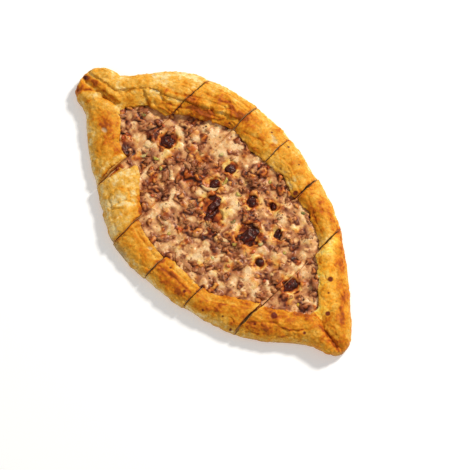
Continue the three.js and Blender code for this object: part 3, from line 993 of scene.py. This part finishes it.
# Places where the oven toasted the cheese to an orange-brown skin: x, y and reach.
TOASTED_PLACES = [
    (-38, 5, 9), (-28, 12, 10), (8, 5, 8), (54, 0, 9), (-6, -34, 6), (-58, -18, 8), (12, 60, 7),
    (26, 21, 7), (50, -26, 8), (60, 29, 7), (96, 2, 9), (-104, -10, 6), (40, 20, 7), (-40, 27, 9),
    (80, 8, 7), (112, -8, 7),
    (-84, -14, 6), (-20, 40, 7), (30, -44, 6), (70, 44, 6), (-64, 6, 7), (16, -14, 6),
]

# Bubbles of toasted cheese: x, y, half-width and height.
BUBBLES = [
    (-75, 18, 7, 3), (-53, 28, 6, 2.4), (22, 34, 5, 1.4), (-64, 40, 5.5, 1.5), (-22, 26, 5, 1.5),
    (60, 26, 5, 1.5), (14, 10, 5, 1.6), (100, 10, 5, 1.2), (-86, 2, 4, 1.3), (36, -36, 5, 1.4),
    (78, -20, 5.5, 1.2), (-26, -32, 5, 1.2),
]


CHEESE_LEVEL, CHEESE_DEPTH = 0.9, 1.7  # height of thin cheese, and how much higher the thickest lies
CLUSTER_HEIGHT, WORM_HEIGHT = 2.0, 0.6  # how high the meat swells in heaps and in short strings
MELT_ROUNDING = 0.36                   # softens the line where the cheese meets the meat
PIT_DEPTH = 0.6
HOLLOW_DEPTH = 0.3                     # of the hollows that the charred pieces lie in

# How light the meat and the cheese are, 0 to 1 along their colours, and how much lighter where they stand out
# over a wide and over a narrow distance: painted light on the raised places and painted shade in the hollows.
MEAT_TONE = (0.21, 0.24, 0.18)
CHEESE_TONE = (0.69, 0.14, 0.12)
PEAK_TONE, GAP_SHADOW_TONE = 0.34, 0.2      # of the browned tops of the highest bubbles, and of the painted shadow in the gap beside the wide flap


def melted(height, cheese, draped):
    """The relief where melted cheese lies between lumps of the given height, and how far its own level
    stands above the meat."""
    worms = (1 - 3.2 * np.abs(map_noise(5.6, 48))).clip(-1, 1)
    clusters = CLUSTER_HEIGHT * map_noise(12, 40) + WORM_HEIGHT * worms * smooth(-0.4, 0.2, map_noise(15, 49))
    meat_top = height + clusters + map_noises((0.5, 3.4, 27), (0.13, 1.7, 28))
    level = CHEESE_LEVEL + CHEESE_DEPTH * cheese + map_noises((1.0, 8, 30), (0.5, 3.8, 41))
    above = level - meat_top
    relief = meat_top + 0.5 * (above + np.sqrt(above ** 2 + MELT_ROUNDING))
    return mix(relief, blurred(relief, 0.9) + 0.3 * map_noise(2.4, 50), 0.6 * draped), above


def bubbled(relief):
    """The relief with its bubbles, their share of each place, and the tops of the highest ones."""
    dome, peak = np.zeros((2, *BED.x.shape))
    ragged = 0.4 * map_noise(6, 51)
    for x, y, half, puff in BUBBLES:
        round_top = np.sqrt(np.clip(1 - (from_place(x, y) / half + ragged) ** 2, 0, 1))
        share = smooth(0, 0.6, round_top)
        relief = mix(relief, 0.8 + 0.35 * relief + puff * round_top, share)
        dome = np.maximum(dome, share)
        peak = np.maximum(peak, smooth(0.72, 0.95, round_top) * (puff > 2))
    return relief, dome, peak


def sunk_for_charred(relief):
    """The relief with a shallow hollow under each charred piece."""
    ragged = 2.6 * map_noise(5, 54)
    for x, y, reach in charred_centres():
        share = 1 - smooth(reach - 0.5, reach + 3.5, from_place(x, y) + ragged)
        relief = mix(relief, np.minimum(relief, 0.4) - HOLLOW_DEPTH, share)
    return relief


def filling_maps():
    """The filling's relief in millimetres above its level, its colour and how wet it looks."""
    rng = np.random.default_rng(SEED)
    cheese = smooth(-0.7, 0.75, map_noises((0.4, 18, 25), (0.75, 9, 26)) + 0.8 * patch_map(CHEESE_PATCHES))
    draped = smooth(0.4, 0.95, cheese + 0.4 * map_noise(5, 31))
    height, shade = crumb_maps(crumb_layout(cheese, rng, LUMPS))
    crumbs = crumb_layout(cheese, rng, CRUMBS)
    small, small_shade = crumb_maps(crumbs)
    height = mix(height, blurred(height, 0.8), 0.5) + 0.4 * small
    shade = blurred(shade + 0.6 * small_shade, 0.6)
    relief, above = melted(height, cheese, draped)
    relief, dome, peak = bubbled(relief)
    pits = smooth(0.45, 0.7, map_noise(2.2, 32))
    relief = sunk_for_charred(relief - PIT_DEPTH * pits * (1 - dome))

    # how far each place stands out, over a few distances, -1 to 1
    crisp, convex, raised = (np.clip((relief - blurred(relief, reach)) / height, -1, 1)
                             for reach, height in ((0.8, 0.3), (1.8, 0.8), (4.5, 1.6)))
    pooled = smooth(-0.8, 0.25, above + 0.5 * map_noise(3.6, 55))
    # painted light and shade: lighter where the filling stands out, darker where it lies low
    meat_tone, cheese_tone = (own + wide * convex + narrow * crisp
                              for own, wide, narrow in (MEAT_TONE, CHEESE_TONE))
    meat_tone += shade + 0.30 * map_noise(7, 34) + 0.08 * cheese
    cheese_tone += 0.20 * draped + map_noises((0.18, 3, 33), (0.42, 9, 56))
    # painted shade in the deeper hollows between the lumps and in the pits
    hollow_shade = smooth(0.3, 1.4, blurred(relief, 2.6) - relief) * (1 - 0.6 * draped) * (1 - 0.8 * pooled)
    tone = mix(meat_tone, cheese_tone, pooled) - 0.3 * pits - 0.12 * marked(BROWNED_MEAT) - 0.22 * hollow_shade
    # painted shadow in the gap beside the wide flap, dark and orange-brown
    shadowed = marked(SHADOWED)
    tone = mix(mix(tone, PEAK_TONE + 0.2 * crisp, 0.7 * peak), GAP_SHADOW_TONE, 0.85 * shadowed)

    toast = map_noises((0.55, 10, 35), (0.45, 3.6, 36)) + 0.2 * convex + 0.2 * raised - 0.1
    ragged = 0.5 * map_noise(4, 42)
    for x, y, reach in TOASTED_PLACES:
        toast = np.maximum(toast, 0.95 - from_place(x, y) / reach + ragged)
    toast = np.maximum(smooth(-0.05, 0.6, toast), 0.75 * dome * smooth(-0.5, 0.4, map_noise(5, 52)))
    ragged = 3.6 * map_noise(6, 38)
    for x, y, reach in charred_centres():
        gap = from_place(x, y) + ragged
        toast = np.maximum(toast, 1 - smooth(reach + 2.5, reach + 7.5, gap))
        tone = tone - 0.45 * (1 - smooth(reach * 0.7, reach + 1.6, gap))
    toast = np.maximum(toast, np.maximum(peak, shadowed))
    tone = np.clip(tone, 0, 1)

    colour = blend(ramp(PLAIN, tone), ramp(BROWNED_TONES, tone + 0.03), 0.85 * toast)
    mauve = smooth(-0.2, 0.5, map_noise(9, 53)) * smooth(0.9, 0.4, tone)
    colour = blend(colour, MAUVE * (0.15 + 1.5 * tone ** 1.5)[..., None], 0.3 * mauve * (1 - toast))
    glaze = 0.45 + 0.45 * smooth(-0.4, 0.5, map_noise(7, 39)) + 0.2 * draped
    return relief, np.clip(colour, 0, 1), np.clip(glaze, 0, 1), crumbs, cheese


# ---------------- the filling's pieces

CLOSED = 0.37      # how far each slice's filling reaches into the cuts beside it
CLOSED_WIDE = 1.2  # and into the last cut, from the stern
LEVEL_SINK = 1.0   # the relief's zero lies this far below the CAD filling's top
RIM_HEIGHT = 8.0   # height at which the filling's width is measured
# in metres:
INSIDE = 1e-5      # how far inside the CAD filling's ends the first and last rays are cast
TUCKED = 2e-4      # how far the sides stay inside the CAD filling's
NARROWEST = 0.006  # rows of filling narrower than this are left out
ABOVE_ALL = 0.05   # height that is above everything


def add_filling(number, opening, relief, colour, wet, material):
    """One slice's bed of meat and cheese, with the relief on its top."""
    name = f"filling_{number}"
    tree = bvh(name)
    low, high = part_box(name)
    first, last = low.x + INSIDE, high.x - INSIDE
    rows = []
    for x in np.linspace(first, last, int((high.x - low.x) / MM / FILLING_STEP) + 1):
        right = tree.ray_cast(Vector((x, high.y + 0.01, RIM_HEIGHT * MM)), Vector((0, -1, 0)))[0]
        left = tree.ray_cast(Vector((x, low.y - 0.01, RIM_HEIGHT * MM)), Vector((0, 1, 0)))[0]
        if right and left and right.y - left.y > NARROWEST:
            rows.append([x, left.y + TUCKED, right.y - TUCKED])
    # melted cheese closes the knife cuts
    if number > 1:
        rows.insert(0, [rows[0][0] - (CLOSED_WIDE if number == 6 else CLOSED) * MM, *rows[0][1:]])
    if number < 6:
        rows.append([rows[-1][0] + CLOSED * MM, *rows[-1][1:]])
    across = int((high.y - low.y) / MM / FILLING_STEP)
    top = np.zeros((len(rows), across + 1, 3))
    for i, (x, left, right) in enumerate(rows):
        for j in range(across + 1):
            y = left + (right - left) * j / across
            hit = tree.ray_cast(Vector((min(max(x, first), last), y, ABOVE_ALL)), Vector((0, 0, -1)))[0]
            top[i, j] = (x, y, hit.z if hit else RIM_HEIGHT * MM)
    top = to_boat(top.reshape(-1, 3))
    open_share = smooth(-3.0, 1.0, PLAN.sample(opening, top))
    rise = BED.sample(relief, top) - LEVEL_SINK
    top[:, 2] += mix(-0.3, rise, open_share)
    grid = np.arange(len(top)).reshape(len(rows), across + 1)
    quads = np.stack([grid[:-1, :-1], grid[1:, :-1], grid[1:, 1:], grid[:-1, 1:]], axis=-1).reshape(-1, 4)
    border = np.concatenate([grid[:, 0], grid[-1, 1:], grid[::-1, -1][1:], grid[0, ::-1][1:-1]])
    floor = top[border].copy()
    floor[:, 2] = to_boat(low)[2]
    under = len(top) + np.arange(len(border))
    ahead, under_ahead = np.roll(border, -1), np.roll(under, -1)
    sides = np.stack([border, under, under_ahead, ahead], axis=1)
    corners = np.concatenate([quads.ravel(), sides.ravel(), under[::-1]])
    sizes = [4] * (len(quads) + len(sides)) + [len(under)]
    points = np.concatenate([top, floor])
    made = new_mesh(f"meat_and_cheese_{number}", points, corners, sizes)
    paint(made, "tint", BED.sample(colour, points))
    paint(made, "wet", BED.sample(wet, points))
    add_piece(f"meat_and_cheese_{number}", made, material, [name])


def ball(fineness):
    """The corners and faces of a unit ball."""
    work = bmesh.new()
    bmesh.ops.create_icosphere(work, subdivisions=fineness, radius=1)
    points = np.array([v.co[:] for v in work.verts])
    faces = np.array([[v.index for v in f.verts] for f in work.faces])
    work.free()
    return points, faces


class Scatter:
    """Loose bits of one kind that lie in the filling, gathered into one piece."""

    def __init__(self, name, relief, colour, fineness=3):
        self.name, self.relief, self.bed_colour = name, relief, colour
        self.unit, self.faces = ball(fineness)
        self.points, self.colours = [], []

    def add(self, x, y, half, turn, sink, colour, bend=0.0, rough=0.3, soiled=0.3):
        """A bit at x, y: half-sizes, turn, how deep it sits, its colour, how far its ends bend, how
        lumpy it is and how much it takes on the filling's colour."""
        a, b, c = half
        order = len(self.points)
        swell = rough * noise(self.unit * 1.6 + order * 3.1, 1.0, 81)
        swell += 0.55 * rough * noise(self.unit * 3.7 + order, 1.0, 82)
        px, py, pz = (self.unit * (1 + swell)[:, None] * (a, b, c)).T
        py = py + bend * (px / a) ** 2
        co, si = math.cos(turn), math.sin(turn)
        level = BED_TOP - LEVEL_SINK + BED.sample(self.relief, np.array([[x, y]]))[0] + c * (1 - 2 * sink)
        points = np.stack([x + px * co - py * si, y + px * si + py * co, level + pz], axis=1)
        colour = colour * (1 + 0.2 * noise(points, 1.6, 83))[:, None]
        share = soiled * smooth(-0.4, 0.5, noise(points, 2.6, 84)) + smooth(0.3, -0.5, pz / c) * 0.5
        self.points.append(points)
        self.colours.append(blend(colour, BED.sample(self.bed_colour, points), np.clip(share, 0, 1)))

    def finish(self, material, wet):
        faces = [self.faces + len(self.unit) * i for i in range(len(self.points))]
        made = new_mesh(self.name, np.concatenate(self.points), np.concatenate(faces).ravel(),
                        [3] * len(self.faces) * len(faces))
        paint(made, "tint", np.clip(np.concatenate(self.colours), 0, 1))
        paint(made, "wet", np.full(len(made.vertices), wet))
        add_piece(self.name, made, material)


MINCE_CRUMBS = 110
FLECK_TRIES = 60  # places tried for dark flecks

TOMATO, CHEESE, FLECK = linear(196, 84, 36), linear(236, 196, 138), linear(58, 34, 22)

# Strips of pepper: x, y, half-length, turn in degrees, bend, colour.
GREEN, LIME = linear(112, 112, 50), linear(186, 166, 70)
YELLOW, PALE = linear(222, 180, 50), linear(206, 188, 120)
PEPPERS = [
    (-80, -9, 5.5, 70, 1.6, PALE), (-70, -3, 4, 20, 1, LIME), (-9, 29, 5, 110, 1.4, LIME),
    (63, 59, 3, 30, 1, GREEN), (24, 7, 3, 80, 1.8, GREEN), (122, -5, 2.6, 10, 0.4, YELLOW),
    (-60, -6, 3, 140, 0.8, LIME), (57, 10, 3, 60, 0.8, PALE), (8, 28, 3, 0, 1, LIME),
    (-10, -44, 2.6, 95, 0.6, LIME), (35, -31, 3, 150, 1, PALE), (-108, 18, 3, 40, 0.8, GREEN),
    (20, 58, 2.6, 120, 0.5, LIME), (78, 20, 2.8, 15, 0.8, LIME), (-30, 44, 2.8, 75, 0.6, PALE),
    (40, -8, 2.6, 50, 0.7, LIME),
]

# Bits of tomato and red pepper: x, y and half-length.
REDS = [
    (57, 0, 2.6), (-106, -11, 2.2), (-6, -34, 2.6), (50, -26, 2.2), (2, 61, 2), (9, 67, 2),
    (27, 20, 2.4), (-47, -30, 1.8), (84, -12, 1.8), (-88, 24, 1.8),
]

# Strings of cheese that did not quite melt in: x, y, half-length, turn, bend.
STRINGS = [
    (-14, 12, 8, 35, 2.6), (-82, 2, 6, 60, 2), (-50, -2, 5, 140, 1.6), (30, -12, 5, 20, 1.8),
    (68, 30, 5, 100, 1.2),
]


def fits(opening, x, y, half):
    """Whether a bit at x, y keeps clear of the knife cuts and of the folded dough."""
    inside = PLAN.sample(opening, np.array([[x, y]]))[0] > half
    return inside and min(abs(x - cut) for cut in CUTS) > half * 0.8


def add_loose_bits(relief, colour, opening, crumbs, cheese, material):
    """Crumbs of mince, strips of pepper, bits of tomato, strings of cheese and dark flecks, each kind one
    piece."""
    rng = np.random.default_rng(SEED + 1)

    mince = Scatter("mince_crumbs", relief, colour)
    places = np.array([crumb[:2] for crumb in crumbs])
    chosen = [k for k, (x, y, a, *_) in enumerate(crumbs) if fits(opening, x, y, a * 0.6)]
    weight = 1.15 - BED.sample(cheese, places[chosen])
    for k in rng.choice(chosen, size=MINCE_CRUMBS, replace=False, p=weight / weight.sum()):
        x, y, a, b, turn, tall, tone = crumbs[k]
        mince.add(x, y, (a * 1.5, b * 1.1, 1.3 + 0.4 * tall), turn, 0.68, ramp(PLAIN, 0.5 + tone), 0.5,
                  rough=0.7, soiled=0.75)
    mince.finish(material, 0.6)

    peppers = Scatter("pepper_strips", relief, colour)
    for x, y, length, turn, bend, hue in PEPPERS:
        half = (length * 0.8, 1.5, 0.8)
        peppers.add(x, y, half, math.radians(turn), 0.5, hue, bend * 0.8, rough=0.25, soiled=0.45)
    peppers.finish(material, 0.9)

    reds = Scatter("tomato_bits", relief, colour)
    for x, y, size in REDS:
        reds.add(x, y, (size, size * 0.7, 1.0), rng.random() * 3, 0.5, TOMATO, 0.3)
    reds.finish(material, 0.9)

    strings = Scatter("cheese_strings", relief, colour)
    for x, y, length, turn, bend in STRINGS:
        strings.add(x, y, (length, 1.7, 1.1), math.radians(turn), 0.6, CHEESE, bend, rough=0.4, soiled=0.5)
    strings.finish(material, 0.7)

    flecks = Scatter("dark_flecks", relief, colour, 2)
    for x, y in rng.uniform((-135, -65), (145, 75), size=(FLECK_TRIES, 2)):
        if fits(opening, x, y, 1.0):
            half = 0.45 + 0.75 * rng.random() ** 2
            sizes = (half, half * 0.7, half * 0.6)
            flecks.add(x, y, sizes, rng.random() * 3, 0.4, FLECK, rough=0.4, soiled=0.2)
    flecks.finish(material, 0.5)


CHARRED_RAISE = 0.5             # millimetres
FLANK = linear(200, 96, 30)     # orange where a charred piece is least burnt
MAROON = linear(72, 16, 9)      # and on its top
RUST = linear(150, 46, 18)
SOOT = linear(34, 10, 8)


def add_charred(name, material):
    """A crisp, blistered piece in the place of its CAD solid."""
    mesh = remeshed(name, name + "_crisp", CHARRED_VOXEL)
    points = relax(points_of(mesh), edges_of(mesh), 4, np.zeros(len(mesh.vertices)))
    set_points(mesh, points)
    normals = normals_of(mesh)
    low = points[:, 2].min()
    points[:, 2] = low + (points[:, 2] - low) * 0.95
    rise = 0.6 + noises(points, (1.6, 6, 91), (0.9, 2.8, 92), (0.25, 1.2, 95))
    moved = points + normals * rise[:, None]
    moved[:, 2] += CHARRED_RAISE
    set_points(mesh, moved)
    height = (moved[:, 2] - low) / np.ptp(points[:, 2])
    spared = 0.3 * name.endswith("slice_2")
    burnt = smooth(0.25, 0.7, height + 0.35 * noise(points, 5, 93) - spared)
    colour = blend(FLANK, MAROON, burnt)
    colour = blend(colour, RUST, 0.5 * smooth(0.2, 0.6, noise(points, 4, 94)))
    colour = blend(colour, SOOT, 0.75 * smooth(0, 0.4, noise(points, 3, 96)) * burnt)
    paint(mesh, "tint", np.clip(colour, 0, 1))
    add_piece(name + "_crisp", mesh, material, [name])


# ---------------- stage, light and camera

AIM = (33.2, -0.4, 10.0)      # the middle of the view, on the pide
CAMERA_TURN = 45.7            # degrees from -Y towards +X
CAMERA_RISE = 78.0            # degrees above the table
CAMERA_AWAY = 2.4             # metres
SENSOR = 36                   # millimetres
FLOOR_HALF = 6.0              # half the floor's side, metres
FLOOR_DROP = 0.0002           # how far it lies under the pide, metres

# Lights: name, turn and rise in degrees, distance and width in metres, power in watts and colour.
LIGHTS = [
    ("key", 180, 43, 2.2, 0.36, 42, (1.0, 0.97, 0.92)),
    ("fill", 20, 60, 2.4, 1.2, 4, (0.95, 0.97, 1.0)),
]
VIEW_WIDTH = 0.4372           # metres across the view at the pide


def direction(turn, rise):
    a, e = math.radians(turn), math.radians(rise)
    return Vector((math.sin(a) * math.cos(e), -math.cos(a) * math.cos(e), math.sin(e)))


def place_and_aim(obj, position, target):
    obj.location = position
    obj.rotation_euler = (Vector(target) - Vector(position)).to_track_quat("-Z", "Y").to_euler()


def add_camera():
    data = bpy.data.cameras.new("camera")
    data.sensor_width = SENSOR
    data.lens = SENSOR * CAMERA_AWAY / VIEW_WIDTH
    data.clip_end = 50
    camera = link(bpy.data.objects.new("camera", data))
    target = Vector(to_frame(AIM))
    place_and_aim(camera, target + direction(CAMERA_TURN, CAMERA_RISE) * CAMERA_AWAY, target)
    bpy.context.scene.camera = camera


def add_light(name, turn, rise, away, size, power, colour):
    data = bpy.data.lights.new(name, "AREA")
    data.shape = "DISK"
    data.size = size
    data.energy = power
    data.color = colour
    lamp = link(bpy.data.objects.new(name, data))
    place_and_aim(lamp, direction(turn, rise) * away, (0, 0, 0))


def add_stage():
    mesh = bpy.data.meshes.new("floor")
    corners = [(FLOOR_HALF * x, FLOOR_HALF * y, 0) for x, y in ((-1, -1), (1, -1), (1, 1), (-1, 1))]
    mesh.from_pydata(corners, [], [(0, 1, 2, 3)])
    floor = link(bpy.data.objects.new("floor", mesh))
    floor.location.z = -FLOOR_DROP
    material, tree, shader = nodes_of("pale_floor")
    feed_named(tree, shader, {"Base Color": (0.88, 0.88, 0.88, 1), "Roughness": 0.9,
                              "Emission Color": (1, 1, 1, 1), "Emission Strength": 0.25})
    mesh.materials.append(material)


def add_world():
    world = bpy.data.worlds.new("studio")
    world.use_nodes = True
    background = world.node_tree.nodes["Background"]
    background.inputs["Color"].default_value = (1.0, 0.985, 0.96, 1)
    background.inputs["Strength"].default_value = 0.36
    bpy.context.scene.world = world


# ---------------- the pide

def main():
    add_camera()
    add_stage()
    add_world()
    for light in LIGHTS:
        add_light(*light)
    bpy.context.scene.view_settings.view_transform = "Standard"

    d_out, d_in, opening = plan_maps()
    dough = dough_material()
    for i in SLICES:
        add_crust(i, d_out, d_in, dough)

    meat_and_cheese = filling_material()
    relief, colour, wet, crumbs, cheese = filling_maps()
    for i in SLICES:
        add_filling(i, opening, relief, colour, wet, meat_and_cheese)
    add_loose_bits(relief, colour, opening, crumbs, cheese, meat_and_cheese)

    charred = charred_material()
    for name in sorted(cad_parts):
        if name.startswith("charred"):
            add_charred(name, charred)


main()
